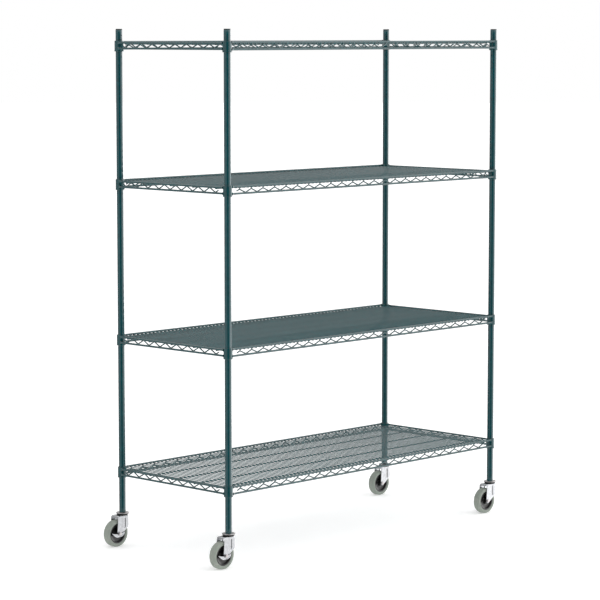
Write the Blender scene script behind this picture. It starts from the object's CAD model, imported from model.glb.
"""Looks of the four-tier wire shelf cart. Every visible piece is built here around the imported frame."""

import math

import bmesh
import bpy
from mathutils import Matrix, Vector


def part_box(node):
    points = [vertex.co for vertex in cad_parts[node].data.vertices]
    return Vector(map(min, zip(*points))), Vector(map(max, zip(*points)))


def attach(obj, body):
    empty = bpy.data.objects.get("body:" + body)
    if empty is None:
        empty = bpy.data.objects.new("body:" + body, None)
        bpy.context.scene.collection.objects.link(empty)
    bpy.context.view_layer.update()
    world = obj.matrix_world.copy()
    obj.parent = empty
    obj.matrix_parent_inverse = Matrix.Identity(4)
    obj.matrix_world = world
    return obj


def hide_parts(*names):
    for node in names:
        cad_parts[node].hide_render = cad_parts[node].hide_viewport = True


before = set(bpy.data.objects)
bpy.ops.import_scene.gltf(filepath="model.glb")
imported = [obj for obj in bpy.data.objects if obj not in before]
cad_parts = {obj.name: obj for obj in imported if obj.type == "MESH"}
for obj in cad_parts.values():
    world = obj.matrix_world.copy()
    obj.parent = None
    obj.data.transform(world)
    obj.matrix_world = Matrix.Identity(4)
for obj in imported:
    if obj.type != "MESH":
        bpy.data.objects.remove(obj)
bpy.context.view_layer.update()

MM = 0.001
CORNERS = ("front_left", "front_right", "back_left", "back_right")
BRAKED = ("front_left", "back_left")
SHELVES = (1, 2, 3, 4)


def middle(node):
    """Centre of a CAD node's box, in metres."""
    lo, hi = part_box(node)
    return (lo + hi) / 2


def size(node):
    """Lengths of a CAD node's box, in millimetres."""
    lo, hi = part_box(node)
    return (hi - lo) / MM


# ---- Sizes read from the frame, in millimetres ----

POST = {c: Vector((middle(f"post_{c}").x, middle(f"post_{c}").y, 0)) / MM for c in CORNERS}
POST_SPAN = abs(POST["front_right"].x - POST["front_left"].x)
POST_R = size("post_front_left").x / 2
POST_FOOT, POST_TOP = (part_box("post_front_left")[k].z / MM for k in (0, 1))
CAP_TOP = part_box("post_caps")[1].z / MM
COLLAR_Z = {s: middle(f"shelf_{s}_collars").z / MM for s in SHELVES}
COLLAR_H = size("shelf_1_collars").z
COLLAR_R = (size("shelf_1_collars").x - POST_SPAN) / 2
WHEEL_R = size("tyre_front_left").z / 2
WHEEL_HALF = size("tyre_front_left").y / 2
TRAIL = POST["front_left"].x - middle("tyre_front_left").x / MM
FORK_HALF = size("fork_front_left").y / 2
CROWN_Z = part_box("fork_front_left")[1].z / MM
CROWN_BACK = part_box("fork_front_left")[1].x / MM - POST["front_left"].x

# ---- Sizes that the frame's boxes don't show, as in the CAD, in millimetres ----

RING_PITCH = 25.4
CROWN_FRONT = -40.0  # from the swivel axis
SHEET, LEG_END_R = 2.6, 9.0
PEDAL_SHEET = 2.0
SHANK_R, HEX_R, HEX_HEAD = 4.0, 7.0, 4.5
BOLT_HOLE_R, KINGPIN_HOLE_R = 4.5, 5.5
RAIL_D, DECK_D, RIB_D, ZIGZAG_D = 5.4, 3.8, 4.6, 4.8
DECK_PITCH, RIB_PITCH, ZIGZAG_PITCH = 20.0, 120.0, 60.0
RIB_PLACES = range(-2, 3)
LONG_HALVES, SHORT_HALVES = 46, 16  # half periods of the zigzag wires
SHORT_SHIFT = 6.0  # of the short zigzags, towards the back
SINK = 0.2  # of one wire into another at a weld

# ---- Shelf wires: places, with heights over the collars' centre ----

RAIL_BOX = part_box("shelf_1_rails")
RAIL_Y = RAIL_BOX[1].y / MM - RAIL_D / 2
RAIL_X = RAIL_BOX[1].x / MM - RAIL_D / 2
LONG_TOP = RAIL_BOX[1].z / MM - RAIL_D / 2 - COLLAR_Z[1]
LONG_LOW = RAIL_BOX[0].z / MM + RAIL_D / 2 - COLLAR_Z[1]
DECK_H = middle("shelf_1_deck").z / MM - COLLAR_Z[1]
RIB_H = middle("shelf_1_ribs").z / MM - COLLAR_Z[1]
SHORT_TOP = RIB_H + RIB_D / 2 + RAIL_D / 2 - SINK
SHORT_LOW = -8.6
LONG_RAILS, SHORT_RAILS = (LONG_LOW, LONG_TOP), (SHORT_LOW, SHORT_TOP)


# ---- Mesh building ----


def around(count):
    """Angles of equal steps round a circle."""
    return [2 * math.pi * k / count for k in range(count)]


class Shape:
    """Vertices and faces of one piece, in millimetres in the row frame."""

    def __init__(self, at=(0, 0, 0)):
        self.at = Vector(at)
        self.points, self.faces = [], []

    def rings(self, rings, caps=True, closed=True):
        """Quads between rings of equal length; the first and last ring are filled if caps is set."""
        n, base = len(rings[0]), len(self.points)
        for ring in rings:
            self.points += [self.at + Vector(p) for p in ring]
        for k in range(len(rings) - 1):
            for i in range(n if closed else n - 1):
                j = (i + 1) % n
                a, b = base + k * n, base + (k + 1) * n
                self.faces.append((a + i, a + j, b + j, b + i))
        if caps:
            last = base + (len(rings) - 1) * n
            self.faces.append(tuple(base + i for i in reversed(range(n))))
            self.faces.append(tuple(last + i for i in range(n)))

    def lathe(self, outline, origin=(0, 0, 0), axis="Z", segments=64, closed=False):
        """Turns an outline of (radius, height) round an axis through origin. A closed outline has no caps."""
        turn = {"Z": Matrix.Identity(3), "Y": Matrix.Rotation(-math.pi / 2, 3, "X")}[axis]
        outline = list(outline) + [outline[0]] * closed
        rings = [
            [Vector(origin) + turn @ Vector((r * math.cos(t), r * math.sin(t), h)) for t in around(segments)]
            for r, h in outline
        ]
        self.rings(rings, caps=not closed)

    def tube(self, path, radius, sides=12, round_ends=True):
        """Round wire along a path of points in mm, with softly rounded ends."""
        path = [Vector(p) for p in path]
        radii = [radius] * len(path)
        if round_ends:
            first, last = (path[1] - path[0]).normalized(), (path[-2] - path[-1]).normalized()
            soft = ((0.0, 0.55), (0.12, 0.86), (0.4, 1.0))
            path = (
                [path[0] + first * radius * d for d, _ in soft]
                + path[1:-1]
                + [path[-1] + last * radius * d for d, _ in reversed(soft)]
            )
            radii = [radius * k for _, k in soft] + radii[1:-1] + [radius * k for _, k in reversed(soft)]
        rings, side = [], None
        for i, p in enumerate(path):
            ahead = (path[min(i + 1, len(path) - 1)] - path[max(i - 1, 0)]).normalized()
            if side is None:
                side = ahead.orthogonal().normalized()
            side = (side - ahead * side.dot(ahead)).normalized()
            other = ahead.cross(side)
            rings.append([
                p + radii[i] * (math.cos(t) * side + math.sin(t) * other) for t in around(sides)
            ])
        self.rings(rings)

    def bead(self, centre, reach):
        """Small soft lump where two wires are welded, with a half-length along each axis."""
        rings = []
        for z in (-0.92, -0.55, 0.0, 0.55, 0.92):
            r = math.sqrt(1 - z * z)
            ring = [(r * math.cos(t) * reach[0], r * math.sin(t) * reach[1], z * reach[2]) for t in around(8)]
            rings.append([Vector(centre) + Vector(p) for p in ring])
        self.rings(rings)

    def piece(self, name, material, body, slot, nodes=(), angle=38):
        """Makes the piece on a body in place of CAD nodes, smooth but for edges sharper than angle."""
        mesh = bpy.data.meshes.new(name)
        mesh.from_pydata([p * MM for p in self.points], [], self.faces)
        mesh.validate()
        shells = bmesh.new()
        shells.from_mesh(mesh)
        bmesh.ops.recalc_face_normals(shells, faces=shells.faces)
        shells.to_mesh(mesh)
        shells.free()
        mesh.update()
        mesh.shade_smooth()
        mesh.set_sharp_from_angle(angle=math.radians(angle))
        mesh.materials.append(material)
        made = bpy.data.objects.new(name, mesh)
        bpy.context.scene.collection.objects.link(made)
        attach(made, body)
        if nodes:
            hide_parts(*nodes)
        return made


def arc(centre, radius, start, end, steps):
    """Points of an arc in a plane, angles in degrees."""
    for i in range(steps + 1):
        t = math.radians(start + (end - start) * i / steps)
        yield centre[0] + radius * math.cos(t), centre[1] + radius * math.sin(t)


def smooth(x, lo, hi):
    """0 below lo, 1 above hi, with an S-shaped rise between."""
    t = max(0.0, min(1.0, (x - lo) / (hi - lo)))
    return t * t * (3 - 2 * t)


# ---- Materials ----


class Look:
    """A node material built round one Principled shader, with textures in the row frame's metres."""

    def __init__(self, name, **values):
        self.material = bpy.data.materials.new(name)
        self.material.use_nodes = True
        self.nodes, self.links = self.material.node_tree.nodes, self.material.node_tree.links
        self.shader = self.nodes["Principled BSDF"]
        for socket, value in values.items():
            self.shader.inputs[socket.replace("_", " ").title().replace("Ior", "IOR")].default_value = value
        self.where = self.nodes.new("ShaderNodeTexCoord").outputs["Object"]
        self.height = None

    def noise(self, per_metre, detail=3.0, rough=0.55, stretch=None):
        """Noise with features about 1 / per_metre apart, optionally stretched along an axis."""
        node = self.nodes.new("ShaderNodeTexNoise")
        node.inputs["Scale"].default_value = per_metre
        node.inputs["Detail"].default_value = detail
        node.inputs["Roughness"].default_value = rough
        where = self.where
        if stretch:
            mapping = self.nodes.new("ShaderNodeMapping")
            mapping.inputs["Scale"].default_value = stretch
            self.links.new(where, mapping.inputs["Vector"])
            where = mapping.outputs["Vector"]
        self.links.new(where, node.inputs["Vector"])
        return node.outputs["Fac"]

    def spread(self, value, lo, hi, to_lo, to_hi):
        """Maps a value from one range to another, held at the ends."""
        node = self.nodes.new("ShaderNodeMapRange")
        for socket, number in zip(("From Min", "From Max", "To Min", "To Max"), (lo, hi, to_lo, to_hi)):
            node.inputs[socket].default_value = number
        self.links.new(value, node.inputs["Value"])
        return node.outputs["Result"]

    def blend(self, value, a, b):
        """Colour between a and b; either may be a colour or another node's output."""
        node = self.nodes.new("ShaderNodeMix")
        node.data_type = "RGBA"
        self.links.new(value, node.inputs["Factor"])
        for socket, colour in ((node.inputs[6], a), (node.inputs[7], b)):
            if isinstance(colour, bpy.types.NodeSocket):
                self.links.new(colour, socket)
            else:
                socket.default_value = (*colour, 1)
        return node.outputs[2]

    def edges(self, lo, hi):
        """How far a point stands out on a convex edge, from 0 to 1."""
        return self.spread(self.nodes.new("ShaderNodeNewGeometry").outputs["Pointiness"], lo, hi, 0, 1)

    def colour(self, output):
        self.links.new(output, self.shader.inputs["Base Color"])

    def roughness(self, output):
        self.links.new(output, self.shader.inputs["Roughness"])

    def bump(self, height, depth_mm, strength=1.0):
        """Adds a bump of a real depth."""
        node = self.nodes.new("ShaderNodeBump")
        node.inputs["Distance"].default_value = depth_mm * MM
        node.inputs["Strength"].default_value = strength
        self.links.new(height, node.inputs["Height"])
        if self.height is not None:
            self.links.new(self.height, node.inputs["Normal"])
        self.height = node.outputs["Normal"]
        self.links.new(self.height, self.shader.inputs["Normal"])


def epoxy(name, deep, thin, peel):
    """Baked teal epoxy: even colour that pools darker, thins on edges, and has a faint orange peel."""
    look = Look(name, coat_weight=1.0, coat_roughness=0.06, specular_ior_level=0.5)
    pooled = look.spread(look.noise(60, 4), 0.35, 0.65, 0, 1)
    tone = look.blend(pooled, deep, thin)
    specks = look.spread(look.noise(2400, 2), 0.66, 0.8, 0, 0.25)
    tone = look.blend(specks, tone, [c * 1.8 for c in thin])
    tone = look.blend(look.edges(0.53, 0.62), tone, [c * 1.3 for c in thin])
    look.colour(tone)
    look.roughness(look.spread(look.noise(180, 3), 0.3, 0.7, 0.14, 0.24))
    look.bump(look.noise(450, 2), peel)
    return look.material


def plated(name, tone, dull, rough, grain):
    """Bright zinc or chrome plate over pressed steel: cloudy tone, faint drawing lines and dull edges."""
    look = Look(name, metallic=1.0)
    cloud = look.spread(look.noise(90, 5, 0.6), 0.3, 0.7, 0, 1)
    shade = look.blend(cloud, dull, tone)
    shade = look.blend(look.edges(0.53, 0.62), shade, [min(1, c * 1.06) for c in tone])
    look.colour(shade)
    look.roughness(look.spread(look.noise(240, 4, 0.6, grain), 0.3, 0.7, rough * 0.7, rough * 1.5))
    look.bump(look.noise(420, 4, 0.5, grain), 0.03)
    return look.material


def plastic(name, tone, rough, coat=0.0, texture=0.03):
    """Moulded plastic: nearly even tone, light scuffing and a fine moulded texture."""
    look = Look(name, coat_weight=coat, coat_roughness=0.12)
    scuffs = look.spread(look.noise(130, 6, 0.7), 0.55, 0.8, 0, 1)
    look.colour(look.blend(scuffs, tone, [c * 1.6 + 0.003 for c in tone]))
    look.roughness(look.spread(look.noise(200, 5, 0.65), 0.3, 0.75, rough * 0.8, rough * 1.35))
    look.bump(look.noise(1500, 2), texture)
    return look.material


def rubber(name, tone, dusty):
    """Grey non-marking rubber: mottled, dusty patches, matt with a fine mould texture."""
    look = Look(name, specular_ior_level=0.3)
    mottle = look.spread(look.noise(140, 5, 0.65), 0.3, 0.7, 0, 1)
    shade = look.blend(mottle, tone, [c * 0.86 for c in tone])
    dust = look.spread(look.noise(45, 4, 0.6), 0.5, 0.72, 0, 0.5)
    shade = look.blend(dust, shade, dusty)
    grit = look.spread(look.noise(1900, 2), 0.6, 0.75, 0, 0.4)
    look.colour(look.blend(grit, shade, [c * 0.6 for c in tone]))
    look.roughness(look.spread(look.noise(160, 4), 0.3, 0.7, 0.55, 0.8))
    look.bump(look.noise(900, 3), 0.05)
    look.bump(look.noise(220, 3), 0.08)
    return look.material


SHELF_EPOXY = epoxy("shelf_epoxy", (0.001, 0.048, 0.056), (0.003, 0.066, 0.075), 0.012)
POST_EPOXY = epoxy("post_epoxy", (0.0002, 0.05, 0.06), (0.001, 0.066, 0.078), 0.016)
PLATE = plated("bright_plate", (0.68, 0.69, 0.71), (0.54, 0.55, 0.57), 0.14, (1, 1, 0.2))
ZINC = plated("zinc_plate", (0.66, 0.63, 0.63), (0.48, 0.46, 0.46), 0.26, (0.4, 0.4, 2))
STEEL = plated("bearing_steel", (0.8, 0.8, 0.81), (0.66, 0.66, 0.68), 0.12, (1, 1, 1))
BRONZE = plated("sintered_bronze", (0.62, 0.42, 0.22), (0.42, 0.27, 0.14), 0.4, (2, 0.3, 2))
CAP = plastic("cap_plastic", (0.012, 0.022, 0.023), 0.42)
BLACK = plastic("black_plastic", (0.012, 0.012, 0.012), 0.5)
SEAL = plastic("seal_rubber", (0.01, 0.01, 0.01), 0.6, texture=0.06)
CORE = plastic("core_plastic", (0.006, 0.006, 0.006), 0.16, coat=0.5, texture=0.015)
TYRE = rubber("grey_rubber", (0.33, 0.37, 0.325), (0.42, 0.42, 0.39))


# ---- Posts ----


def post(corner):
    """Tube with a soft ring rolled in every inch, turned in at the foot."""
    outline = [(POST_R - 1.3, POST_FOOT + 0.3), (POST_R - 0.5, POST_FOOT), (POST_R, POST_FOOT + 0.6)]
    dip = ((-0.9, 0.0), (-0.6, 0.03), (-0.25, 0.12), (0.0, 0.15), (0.25, 0.12), (0.6, 0.03), (0.9, 0.0))
    z = POST_FOOT + RING_PITCH
    while z < POST_TOP - 10:
        outline += [(POST_R - deep, z + dz) for dz, deep in dip]
        z += RING_PITCH
    outline += [(POST_R, POST_TOP - 0.5), (POST_R - 0.4, POST_TOP), (POST_R - 1.3, POST_TOP)]
    shape = Shape(POST[corner])
    shape.lathe(outline, segments=48)
    return shape.piece(f"tube_{corner}", POST_EPOXY, "cart", "post_epoxy", [f"post_{corner}"], 60)


def caps():
    """Pressed-in plastic caps: a rolled lip and a shallow dished top."""
    shape = Shape()
    lip = POST_R - 0.5
    for corner in CORNERS:
        outline = [(POST_R - 1.4, POST_TOP - 6), (POST_R - 1.4, POST_TOP), (lip - 0.3, POST_TOP + 0.02)]
        outline += list(arc((lip - 1.4, CAP_TOP - 1.4), 1.4, 0, 80, 6))
        outline += [(lip - 3.2, CAP_TOP - 0.25), (lip - 4.2, CAP_TOP - 0.7)]
        outline += [(3, CAP_TOP - 0.8), (0.5, CAP_TOP - 0.8)]
        shape.lathe(outline, POST[corner], segments=48)
    return shape.piece("caps", CAP, "cart", "post_cap", ["post_caps"], 50)


# ---- Shelves ----


def collars(s):
    """Collars with rolled rims, wider at the foot, hollow down to the sleeves."""
    shape, half = Shape(), COLLAR_H / 2
    bore_top, bore_foot = 13.9, 14.7
    for corner in CORNERS:
        top = list(arc((COLLAR_R - 1.7, half - 1.1), 1.1, 0, 90, 5))
        foot = list(arc((COLLAR_R - 1.1, -half + 1.1), 1.1, -90, 0, 5))
        outline = foot + [(COLLAR_R, -half + 4), (COLLAR_R - 0.5, -half + 5.4), (COLLAR_R - 0.6, 0)] + top
        outline += [(bore_top + 0.8, half), (bore_top, half - 0.8)]
        outline += [(bore_foot, -half + 0.6), (bore_foot + 0.6, -half)]
        shape.lathe(outline, POST[corner] + Vector((0, 0, COLLAR_Z[s])), segments=56, closed=True)
    return shape.piece(f"collar_rings_{s}", SHELF_EPOXY, "cart", "shelf_epoxy", [f"shelf_{s}_collars"])


def rails(s):
    """Eight rails, each flared into the weld at its collars."""
    shape = Shape((0, 0, COLLAR_Z[s]))
    cut = math.sqrt((COLLAR_R - 0.6) ** 2 - (RAIL_Y - POST["back_right"].y) ** 2)
    half_x, half_y = POST["back_right"].x - cut, POST["back_right"].y - cut
    x_axis, y_axis = Vector((1, 0, 0)), Vector((0, 1, 0))
    runs = [(x_axis, Vector((0, side * RAIL_Y, h)), half_x) for side in (-1, 1) for h in LONG_RAILS]
    runs += [(y_axis, Vector((side * RAIL_X, 0, h)), half_y) for side in (-1, 1) for h in SHORT_RAILS]
    flare = ((1.2, 3.8), (-0.4, 3.5), (-1.6, 3.05), (-3.2, 2.8), (-5.5, RAIL_D / 2))
    for along, centre, half in runs:
        stations = [(-half - d, r) for d, r in flare] + [(half + d, r) for d, r in reversed(flare)]
        side, other = along.orthogonal(), along.cross(along.orthogonal())
        shape.rings([
            [centre + along * x + r * (math.cos(t) * side + math.sin(t) * other) for t in around(20)]
            for x, r in stations
        ])
    return shape.piece(f"rail_wires_{s}", SHELF_EPOXY, "cart", "shelf_epoxy", [f"shelf_{s}_rails"])


def zigzag_path(count, first_high, low, high, turn, bend=2.7):
    """Points of a zigzag of count halves with rounded bends, and half-height stubs at its ends."""
    half = ZIGZAG_PITCH / 2
    lift = bend * (1 / math.sin(math.atan2(half, high - low)) - 1)
    low, high = low - lift, high + lift
    ends = (count + 1) * half / 2
    corners = [(-ends, (low + high) / 2)]
    for i in range(count + 1):
        corners.append(((i - count / 2) * half, high if (i % 2 == 0) == first_high else low))
    corners.append((ends, (low + high) / 2))
    path = [corners[0]]
    for before, here, after in zip(corners, corners[1:], corners[2:]):
        a = (Vector(before) - Vector(here)).normalized()
        b = (Vector(after) - Vector(here)).normalized()
        open_half = a.angle(b) / 2
        back = bend / math.tan(open_half)
        centre = Vector(here) + (a + b).normalized() * bend / math.sin(open_half)
        start, end = Vector(here) + a * back, Vector(here) + b * back
        for k in range(6):
            path.append(tuple(centre + (start - centre).slerp(end - centre, k / 5)))
    path.append(corners[-1])
    return [turn @ Vector((x, 0, z)) for x, z in path]


def zigzags(s):
    """Bent wires between the rails, on all four sides."""
    shape = Shape((0, 0, COLLAR_Z[s]))
    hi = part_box(f"shelf_{s}_truss")[1]
    out_x, out_y = hi.x / MM - ZIGZAG_D / 2, hi.y / MM - ZIGZAG_D / 2
    quarter_turn = Matrix.Rotation(math.pi / 2, 3, "Z")
    long_low, long_high = LONG_LOW + 0.6, DECK_H - DECK_D / 2 - ZIGZAG_D / 2 + SINK
    short_low, short_high = SHORT_LOW + 0.6, SHORT_TOP - 0.6
    for side in (-1, 1):
        long_path = zigzag_path(LONG_HALVES, True, long_low, long_high, Matrix.Identity(3))
        shape.tube([p + Vector((0, side * out_y, 0)) for p in long_path], ZIGZAG_D / 2)
        short_path = zigzag_path(SHORT_HALVES, False, short_low, short_high, quarter_turn)
        shape.tube([p + Vector((side * out_x, SHORT_SHIFT, 0)) for p in short_path], ZIGZAG_D / 2)
        for i in range(LONG_HALVES + 1):
            x = (i - LONG_HALVES / 2) * ZIGZAG_PITCH / 2
            if i % 2:
                shape.bead((x, side * (out_y + 1.4), long_low - 0.2), (3.4, 1.9, 2.0))
            else:
                shape.bead((x, side * out_y, long_high + 1.6), (2.2, 2.4, 1.6))
        for i in range(SHORT_HALVES + 1):
            y = (i - SHORT_HALVES / 2) * ZIGZAG_PITCH / 2 + SHORT_SHIFT
            z = short_high + 0.2 if i % 2 else short_low - 0.2
            shape.bead((side * (out_x + 1.4), y, z), (1.9, 3.4, 2.0))
    return shape.piece(f"zigzag_wires_{s}", SHELF_EPOXY, "cart", "shelf_epoxy", [f"shelf_{s}_truss"])


def deck(s):
    """Deck wires from front to back, sunk into the ribs and the long rails at their welds."""
    shape = Shape((0, 0, COLLAR_Z[s]))
    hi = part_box(f"shelf_{s}_deck")[1]
    reach = hi.y / MM
    corner_x = hi.x / MM - DECK_D / 2
    count = int(round(corner_x / DECK_PITCH - 0.5))
    lines = [(side * (k + 0.5) * DECK_PITCH, reach) for side in (-1, 1) for k in range(count)]
    gap = math.sqrt(COLLAR_R**2 - (POST["back_right"].x - corner_x) ** 2)
    lines += [(side * corner_x, POST["back_right"].y - gap - 1.5) for side in (-1, 1)]
    for x, end in lines:
        shape.tube([(x, -end, DECK_H), (x, 0, DECK_H), (x, end, DECK_H)], DECK_D / 2, 10)
        for i in RIB_PLACES:
            shape.bead((x, i * RIB_PITCH, DECK_H - 1.2), (2.1, 3.2, 1.3))
        if end == reach:
            for side in (-1, 1):
                shape.bead((x, side * (RAIL_Y - 0.5), DECK_H + 1.0), (2.0, 2.6, 1.5))
    return shape.piece(f"deck_wires_{s}", SHELF_EPOXY, "cart", "shelf_epoxy", [f"shelf_{s}_deck"])


def ribs(s):
    """Five ribs under the deck, welded under the short upper rails."""
    shape = Shape((0, 0, COLLAR_Z[s]))
    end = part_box(f"shelf_{s}_ribs")[1].x / MM
    for i in RIB_PLACES:
        y = i * RIB_PITCH
        shape.tube([(-end, y, RIB_H), (0, y, RIB_H), (end, y, RIB_H)], RIB_D / 2, 14)
        for side in (-1, 1):
            shape.bead((side * (RAIL_X - 0.4), y, RIB_H + 1.9), (3.0, 3.1, 1.8))
    return shape.piece(f"rib_wires_{s}", SHELF_EPOXY, "cart", "shelf_epoxy", [f"shelf_{s}_ribs"])


# ---- Casters ----


def race_plates():
    """Round upper race plates with the post plug and the kingpin in one piece."""
    shape = Shape()
    plate_r = (size("caster_stems").x - POST_SPAN) / 2
    under, above = POST_FOOT - 3, POST_FOOT
    for corner in CORNERS:
        outline = [(5, CROWN_Z - 7.1), (7, CROWN_Z - 7.1), (8.5, CROWN_Z - 5.6), (8.5, CROWN_Z - 3)]
        outline += [(5, CROWN_Z - 3), (5, under), (plate_r - 1.2, under)]
        outline += list(arc((plate_r - 1.2, under + 1.2), 1.2, -60, 0, 3))
        outline += list(arc((plate_r - 1.2, above - 1.2), 1.2, 0, 90, 4))
        outline += [(POST_R + 2.2, above), (POST_R - 1.5, above + 0.2), (POST_R - 1.5, above + 20)]
        shape.lathe(outline, POST[corner], segments=72)
    return shape.piece("race_plates", ZINC, "cart", "zinc_stem", ["caster_stems"])


def seals():
    """Tapered rubber rings that close the ball races."""
    shape = Shape()
    outer = (size("race_seals").x - POST_SPAN) / 2
    for corner in CORNERS:
        outline = [(outer - 2, POST_FOOT - 3), (outer, POST_FOOT - 3.2), (outer - 0.3, POST_FOOT - 4.4)]
        outline += [(outer - 1.4, CROWN_Z + 1.6), (outer - 2.2, CROWN_Z + 0.6), (outer - 3.4, CROWN_Z + 0.6)]
        shape.lathe(outline, POST[corner], segments=72, closed=True)
    return shape.piece("race_rings", SEAL, "cart", "seal", ["race_seals"])


def leg_edges(x):
    """Lowest and highest point of a fork leg at a distance x from the swivel axis."""
    axle, r = Vector((-TRAIL, WHEEL_R)), LEG_END_R
    front = Vector((CROWN_FRONT, CROWN_Z - 4))
    heel, knee = Vector((CROWN_BACK, CROWN_Z - 38)), Vector((CROWN_BACK - 3, CROWN_Z - 46))

    def tangent(point, side):
        away = point - axle
        turn = math.acos(r / away.length) * side
        angle = math.atan2(away.y, away.x) + turn
        return axle + r * Vector((math.cos(angle), math.sin(angle)))

    left, right = tangent(front, 1), tangent(knee, -1)

    def line(a, b):
        return a.y + (b.y - a.y) * (x - a.x) / (b.x - a.x)

    drop = math.sqrt(max(0.0, r * r - (x - axle.x) ** 2))
    low = axle.y - drop if x < right.x else line(right, knee) if x < knee.x else line(knee, heel)
    high = axle.y + drop if x < left.x else line(left, front)
    return low, high


def crown_height(x):
    """Height of the crown, rounded down at its front and back."""
    inside = min(x - CROWN_FRONT, CROWN_BACK - x, 4.0)
    return CROWN_Z - 4 + math.sqrt(max(0.0, 16 - (4 - inside) ** 2))


def fork(corner):
    """One bent sheet: two legs with a pressed strip each, a rounded crown and a front skirt."""
    shape = Shape(POST[corner])
    bend = 5.5
    reach = -TRAIL - LEG_END_R
    # Columns from front to back: leg end, crown's front, plain face, pressed strip, plain face, crown's back
    columns = [reach + 6 * (1 - math.cos(math.pi / 2 * k / 7)) for k in range(7)]
    columns += [CROWN_FRONT + 4 * (1 - math.cos(math.pi / 2 * k / 5)) for k in range(6)]
    columns += [CROWN_FRONT + 4 + 1.5 * k for k in range(1, 16)]
    columns += [-12.9 + 0.45 * k for k in range(26)]
    columns += [-0.6 + 1.4 * k for k in range(6)]
    columns += [CROWN_BACK - 4 * math.cos(math.pi / 2 * k / 5) for k in range(6)]
    rows = 26

    def pressed(x, z):
        """Depth of the strip pressed into a leg."""
        across = smooth(x, -12.4, -11.4) * max(0.0, min(1.0 - 0.05 * (x + 11.4), (-2.8 - x) / 3.6))
        along = smooth(z, CROWN_Z - 49, CROWN_Z - 46) * (1 - smooth(z, CROWN_Z - 10, CROWN_Z - 7))
        return 2.4 * across * along

    for side in (-1, 1):
        lines = []
        for x in columns:
            low, high = leg_edges(x)
            if x > CROWN_FRONT - 0.01:
                high = crown_height(x) - bend
            heights = [low + (high - low) * k / rows for k in range(rows + 1)]
            lines.append([(x, side * (FORK_HALF - pressed(x, z)), z) for z in heights])
        shape.rings(lines, caps=False, closed=False)
    flat = FORK_HALF - bend
    crown = []
    for x in columns:
        if x < CROWN_FRONT - 0.01:
            continue
        z = crown_height(x)
        over = [(-y, h) for y, h in arc((flat, z - bend), bend, 0, 90, 6)]
        over += [(-flat + 2 * flat * k / 10, z) for k in range(1, 10)]
        over += list(arc((flat, z - bend), bend, 90, 0, 6))
        crown.append([(x, y, h) for y, h in over])
    shape.rings(crown, caps=False, closed=False)
    edge = [p for p in crown[0] if abs(p[1]) < flat - 0.5]
    skirt = [[(x, y, z - d) for x, y, z in edge] for d in (1.5, 3.0, 4.5)]
    shape.rings([edge] + skirt, caps=False, closed=False)
    made = shape.piece(f"fork_sheet_{corner}", PLATE, f"swivel_{corner}", "zinc_fork", [f"fork_{corner}"], 50)
    clean(made, [(axle_at(corner), (0, 1, 0), BOLT_HOLE_R), (POST[corner], (0, 0, 1), KINGPIN_HOLE_R)])
    thicken(made, SHEET, 0.5)
    return made


def pierce(mesh, centre, axis, radius):
    """Opens a round hole through a sheet, on a line through centre along axis."""
    def spoke(vertex):
        away = vertex.co / MM - centre
        return away - axis * away.dot(axis)

    inside = [v for v in mesh.verts if spoke(v).length < radius]
    rim = {v for i in inside for face in i.link_faces for v in face.verts} - set(inside)
    bmesh.ops.delete(mesh, geom=inside, context="VERTS")
    for v in rim:
        away = spoke(v)
        v.co += away * (radius / away.length - 1) * MM


def clean(made, holes, outward=None):
    """Joins coincident vertices, opens the holes and turns the sheet's face outwards.

    Outwards is the direction given, or else away from the sheet's middle.
    """
    mesh = bmesh.new()
    mesh.from_mesh(made.data)
    bmesh.ops.remove_doubles(mesh, verts=mesh.verts, dist=0.02 * MM)
    bmesh.ops.dissolve_degenerate(mesh, dist=0.01 * MM, edges=mesh.edges)
    for centre, axis, radius in holes:
        pierce(mesh, centre, Vector(axis), radius)
    bmesh.ops.recalc_face_normals(mesh, faces=mesh.faces)
    mesh.normal_update()
    centre = sum((face.calc_center_median() for face in mesh.faces), Vector()) / len(mesh.faces)
    lean = 0.0
    for face in mesh.faces:
        lean += face.normal.dot(outward or face.calc_center_median() - centre) * face.calc_area()
    if lean < 0:
        bmesh.ops.reverse_faces(mesh, faces=mesh.faces)
    mesh.to_mesh(made.data)
    mesh.free()


def thicken(made, thickness, edge):
    """Gives a sheet its thickness, inwards from its outer face, and softens the cut edges."""
    solid = made.modifiers.new("thickness", "SOLIDIFY")
    solid.thickness = thickness * MM
    solid.offset = -1
    solid.use_even_offset = True
    soft = made.modifiers.new("edges", "BEVEL")
    soft.width = edge * MM
    soft.segments = 2
    soft.limit_method = "ANGLE"
    soft.angle_limit = math.radians(50)
    soft.harden_normals = False


def axle_at(corner):
    return POST[corner] + Vector((-TRAIL, 0, WHEEL_R))


def tyre(corner):
    """Solid tyre: rounded shoulders, a mould line round the tread and a shallow step in each side."""
    shape = Shape(axle_at(corner))
    r, w, hold = WHEEL_R, WHEEL_HALF, 38.02
    side = [(hold, w - 2.4), (hold + 0.8, w - 1.5), (hold + 1.8, w - 1.3), (hold + 2.4, w - 0.6)]
    side += [(hold + 3.4, w - 0.25), (r - 8.4, w - 0.05), (r - 7.6, w)]
    side += [(rr, hh) for rr, hh in arc((r - 6, w - 6), 6, 90, 8, 9)]
    side += [(r, w - 8), (r, 0.9), (r - 0.18, 0.45)]
    outline = side + [(r - 0.18, -0.45)] + [(rr, -hh) for rr, hh in reversed(side[:-1])]
    shape.lathe(outline, axis="Y", segments=112, closed=True)
    return shape.piece(f"tyre_ring_{corner}", TYRE, f"wheel_{corner}", "tyre", [f"tyre_{corner}"])


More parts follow.
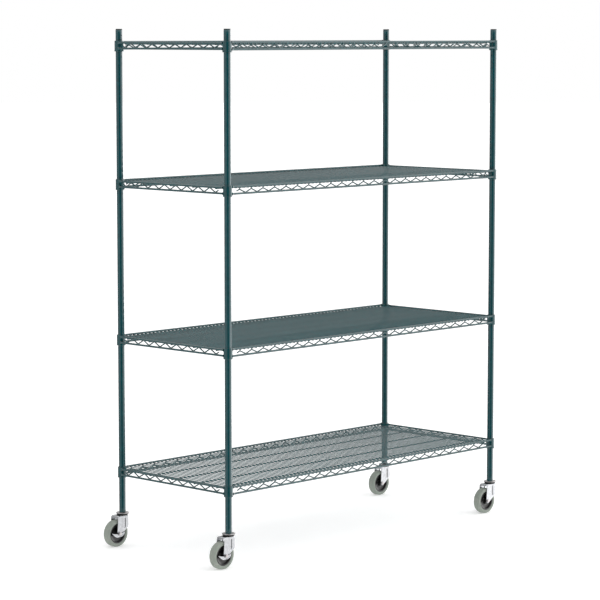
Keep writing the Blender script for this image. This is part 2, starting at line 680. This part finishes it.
def core(corner):
    """Wheel core: rim lip, dished web with stiffening ribs, and a boss."""
    shape = Shape(axle_at(corner))
    boss = size(f"core_{corner}").y / 2
    half = [(6.06, boss), (10.6, boss), (11.4, boss - 0.8), (12.2, 8), (14.5, 4.8), (18, 4.1), (28.5, 4.0)]
    half += [(31, 5.2), (32.2, 9), (32.8, 11.4), (33.6, 12.3), (35, 12.5), (37, 12.5)]
    half += [(37.9, 12.0), (38.0, 11.2)]
    outline = half + [(r, -h) for r, h in reversed(half)]
    shape.lathe(outline, axis="Y", segments=112, closed=True)
    return shape.piece(f"core_disc_{corner}", CORE, f"wheel_{corner}", "core", [f"core_{corner}"])


def hex_rings(start, height, circle, chamfers, sides=48):
    """Rings of a hexagon along the axle, chamfered at its near and far end where asked."""
    flat = circle * math.cos(math.pi / 6)
    rings = []
    for k in range(9):
        share = k / 8
        h = start + height * share
        near = height * share if chamfers[0] else 99
        far = height * (1 - share) if chamfers[1] else 99
        limit = flat * 0.96 + min(near, far) * 1.7
        ring = []
        for t in around(sides):
            lean = (t % (math.pi / 3)) - math.pi / 6
            ring.append((min(flat / math.cos(lean), limit), t, h))
        rings.append(ring)
    return rings


def bolt(corner):
    """Hexagon-headed axle bolt with a round shank and a threaded end past the nut."""
    shape = Shape(axle_at(corner))
    lo, hi = (p / MM - axle_at(corner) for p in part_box(f"axle_bolt_{corner}"))
    rings = hex_rings(lo.y, HEX_HEAD, HEX_R, (True, False))
    shape.rings([[(r * math.cos(t), h, r * math.sin(t)) for r, t, h in ring] for ring in rings])
    outline = [(SHANK_R, lo.y + HEX_HEAD - 0.5), (SHANK_R, hi.y - 5)]
    z = hi.y - 5
    while z < hi.y - 1.3:
        outline += [(SHANK_R, z), (3.55, z + 0.3), (SHANK_R, z + 0.6)]
        z += 0.8
    outline += [(3.9, hi.y - 0.7), (3.2, hi.y), (0.4, hi.y)]
    shape.lathe(outline, axis="Y", segments=32)
    return shape.piece(f"bolt_{corner}", ZINC, f"swivel_{corner}", "fastener", [f"axle_bolt_{corner}"])


def nut(corner):
    """Chamfered axle nut."""
    shape = Shape(axle_at(corner))
    lo, hi = (p / MM - axle_at(corner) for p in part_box(f"axle_nut_{corner}"))
    rings = hex_rings(lo.y, hi.y - lo.y, HEX_R, (False, True))
    shape.rings([[(r * math.cos(t), h, r * math.sin(t)) for r, t, h in ring] for ring in rings])
    return shape.piece(f"nut_{corner}", ZINC, f"swivel_{corner}", "fastener", [f"axle_nut_{corner}"])


def brake_lever(corner):
    """Crescent rocker pedal: a pressed plate whose lower edge is bent outwards."""
    shape = Shape(axle_at(corner))
    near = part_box(f"brake_lever_{corner}")[1].y / MM - axle_at(corner).y
    low, outer_r, inner_r, mid, half, boss_r = -13.0, 36.4, 88.0, -6.0, 31.3, 8.5
    lines = []
    for k in range(61):
        x = mid - half + 2 * half * k / 60
        under = low + outer_r - math.sqrt(outer_r**2 - (x - mid) ** 2)
        over = low + 13 + inner_r - math.sqrt(inner_r**2 - (x - mid) ** 2)
        boss = math.sqrt(max(0.0, boss_r**2 - x * x)) if abs(x) < boss_r else 0
        over = over + (boss - over) * smooth(boss, over, over + 3) if boss > over else over
        lip = 4.0 * smooth(abs(x - mid), 7, 10) * (1 - smooth(abs(x - mid), 26, half))
        deep = max(0.2, min(1.0, (over - under) / 6))
        face = near - 0.1 - 1.6 * max(0.0, min(1.0, (x - 6.5) / 2.4))
        line = [(x, face, over + (under + 2 * deep - over) * i / 8) for i in range(9)]
        for i in range(1, 5):
            t = math.pi / 2 * i / 4
            y = face - 2 * deep * (1 - math.cos(t)) * (lip > 0.3)
            line.append((x, y, under + 2 * deep * (1 - math.sin(t))))
        y = min(face, near - 0.1) - 2 * deep * (lip > 0.3) - max(0, lip - 0.5 - (near - 0.1 - face))
        line.append((x, y, under))
        lines.append(line)
    shape.rings(lines, caps=False, closed=False)
    replaced = [f"brake_lever_{corner}"]
    made = shape.piece(f"brake_pedal_{corner}", PLATE, f"brake_{corner}", "lever", replaced, 50)
    clean(made, [(axle_at(corner), (0, 1, 0), BOLT_HOLE_R)], Vector((0, 1, 0)))
    thicken(made, PEDAL_SHEET, 0.4)
    return made


# ---- Hidden CAD parts keep their shape and get a material ----


def finish_cad(node, material):
    """Gives a CAD node its material."""
    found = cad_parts[node]
    found.data.materials.clear()
    found.data.materials.append(material)


def build():
    """Makes every piece."""
    for corner in CORNERS:
        post(corner)
        fork(corner)
        tyre(corner)
        core(corner)
        bolt(corner)
        nut(corner)
        finish_cad(f"race_balls_{corner}", STEEL)
        finish_cad(f"bushing_{corner}", BRONZE)
    for corner in BRAKED:
        brake_lever(corner)
    caps()
    for s in SHELVES:
        collars(s)
        rails(s)
        zigzags(s)
        deck(s)
        ribs(s)
    race_plates()
    seals()
    finish_cad("split_sleeves", BLACK)


# ---- Studio ----

LENS_MM, SENSOR_MM = 148.98, 36.0
CAMERA_AT = (-6.965, -6.675, 1.9411)
CAMERA_YAW, CAMERA_PITCH = math.radians(45.927), math.radians(-6.142)
DARK_TURN = math.radians(9)  # of the dark lobe, from behind the camera towards the key side
WHITE = (1, 1, 1, 1)


def camera():
    """Long lens from the front left, a little above the top shelf, looking slightly down."""
    data = bpy.data.cameras.new("camera")
    data.lens, data.sensor_width = LENS_MM, SENSOR_MM
    made = bpy.data.objects.new("camera", data)
    bpy.context.scene.collection.objects.link(made)
    made.location = CAMERA_AT
    yaw, pitch = CAMERA_YAW, CAMERA_PITCH
    ahead = Vector((math.sin(yaw) * math.cos(pitch), math.cos(yaw) * math.cos(pitch), math.sin(pitch)))
    made.rotation_mode = "QUATERNION"
    made.rotation_quaternion = ahead.to_track_quat("-Z", "Y")
    bpy.context.scene.camera = made
    return ahead


def floor():
    """Pale matt floor with a hardly visible grain."""
    look = Look("studio_floor", roughness=0.9, specular_ior_level=0.1, emission_strength=0.3)
    look.shader.inputs["Emission Color"].default_value = WHITE
    grain = look.spread(look.noise(3, 4), 0.3, 0.7, 0, 1)
    look.colour(look.blend(grain, (0.93, 0.93, 0.93), (0.95, 0.95, 0.95)))
    mesh = bpy.data.meshes.new("floor")
    radius, steps = 60.0, 96
    ring = [(radius * math.cos(t), radius * math.sin(t), 0) for t in around(steps)]
    mesh.from_pydata(ring, [], [tuple(range(steps))])
    mesh.materials.append(look.material)
    made = bpy.data.objects.new("floor", mesh)
    bpy.context.scene.collection.objects.link(made)
    made.visible_glossy = False


def studio(ahead):
    """Light tent: bright above and on the key side, half as bright opposite, dark behind the camera."""
    world = bpy.data.worlds.new("studio")
    bpy.context.scene.world = world
    world.use_nodes = True
    nodes, links = world.node_tree.nodes, world.node_tree.links
    nodes.clear()
    where = nodes.new("ShaderNodeTexCoord").outputs["Generated"]
    level = Vector((ahead.x, ahead.y, 0)).normalized()
    right, behind = Vector((level.y, -level.x, 0)), -level

    def facing(direction, lo, hi, to_lo, to_hi):
        """Light by the cosine between a ray and a direction."""
        dot = nodes.new("ShaderNodeVectorMath")
        dot.operation = "DOT_PRODUCT"
        dot.inputs[1].default_value = direction
        links.new(where, dot.inputs[0])
        node = nodes.new("ShaderNodeMapRange")
        node.interpolation_type = "SMOOTHSTEP"
        for socket, number in zip(("From Min", "From Max", "To Min", "To Max"), (lo, hi, to_lo, to_hi)):
            node.inputs[socket].default_value = number
        links.new(dot.outputs["Value"], node.inputs["Value"])
        return node.outputs["Result"]

    def combine(a, b, operation):
        node = nodes.new("ShaderNodeMath")
        node.operation = operation
        links.new(a, node.inputs[0])
        links.new(b, node.inputs[1])
        return node.outputs["Value"]

    # Base, key light, ceiling, floor bounce, shaded far left, dark lobe behind the camera
    light = facing(right, 0.0, 0.95, 0.5, 1.0)
    light = combine(light, facing((right * 0.8 + level * 0.6).normalized(), 0.75, 0.98, 0.0, 1.5), "ADD")
    light = combine(light, facing(Vector((0, 0, 1)), 0.25, 0.9, 0.0, 0.65), "ADD")
    light = combine(light, facing(Vector((0, 0, -1)), 0.3, 0.9, 0.0, 0.4), "ADD")
    far_left = (level * 0.75 - right * 0.66).normalized()
    light = combine(light, facing(far_left, 0.5, 0.95, 1.0, 0.75), "MULTIPLY")
    lobe = (behind * math.cos(DARK_TURN) + right * math.sin(DARK_TURN)).normalized()
    light = combine(light, facing(lobe, 0.77, 0.94, 1.0, 0.03), "MULTIPLY")
    seen = nodes.new("ShaderNodeLightPath").outputs["Is Camera Ray"]
    tent, back = nodes.new("ShaderNodeBackground"), nodes.new("ShaderNodeBackground")
    links.new(light, tent.inputs["Strength"])
    back.inputs["Color"].default_value = tent.inputs["Color"].default_value = WHITE
    back.inputs["Strength"].default_value = 1.0
    mix, out = nodes.new("ShaderNodeMixShader"), nodes.new("ShaderNodeOutputWorld")
    links.new(seen, mix.inputs["Fac"])
    links.new(tent.outputs["Background"], mix.inputs[1])
    links.new(back.outputs["Background"], mix.inputs[2])
    links.new(mix.outputs["Shader"], out.inputs["Surface"])
    bpy.context.scene.view_settings.view_transform = "Standard"


studio(camera())
floor()
build()
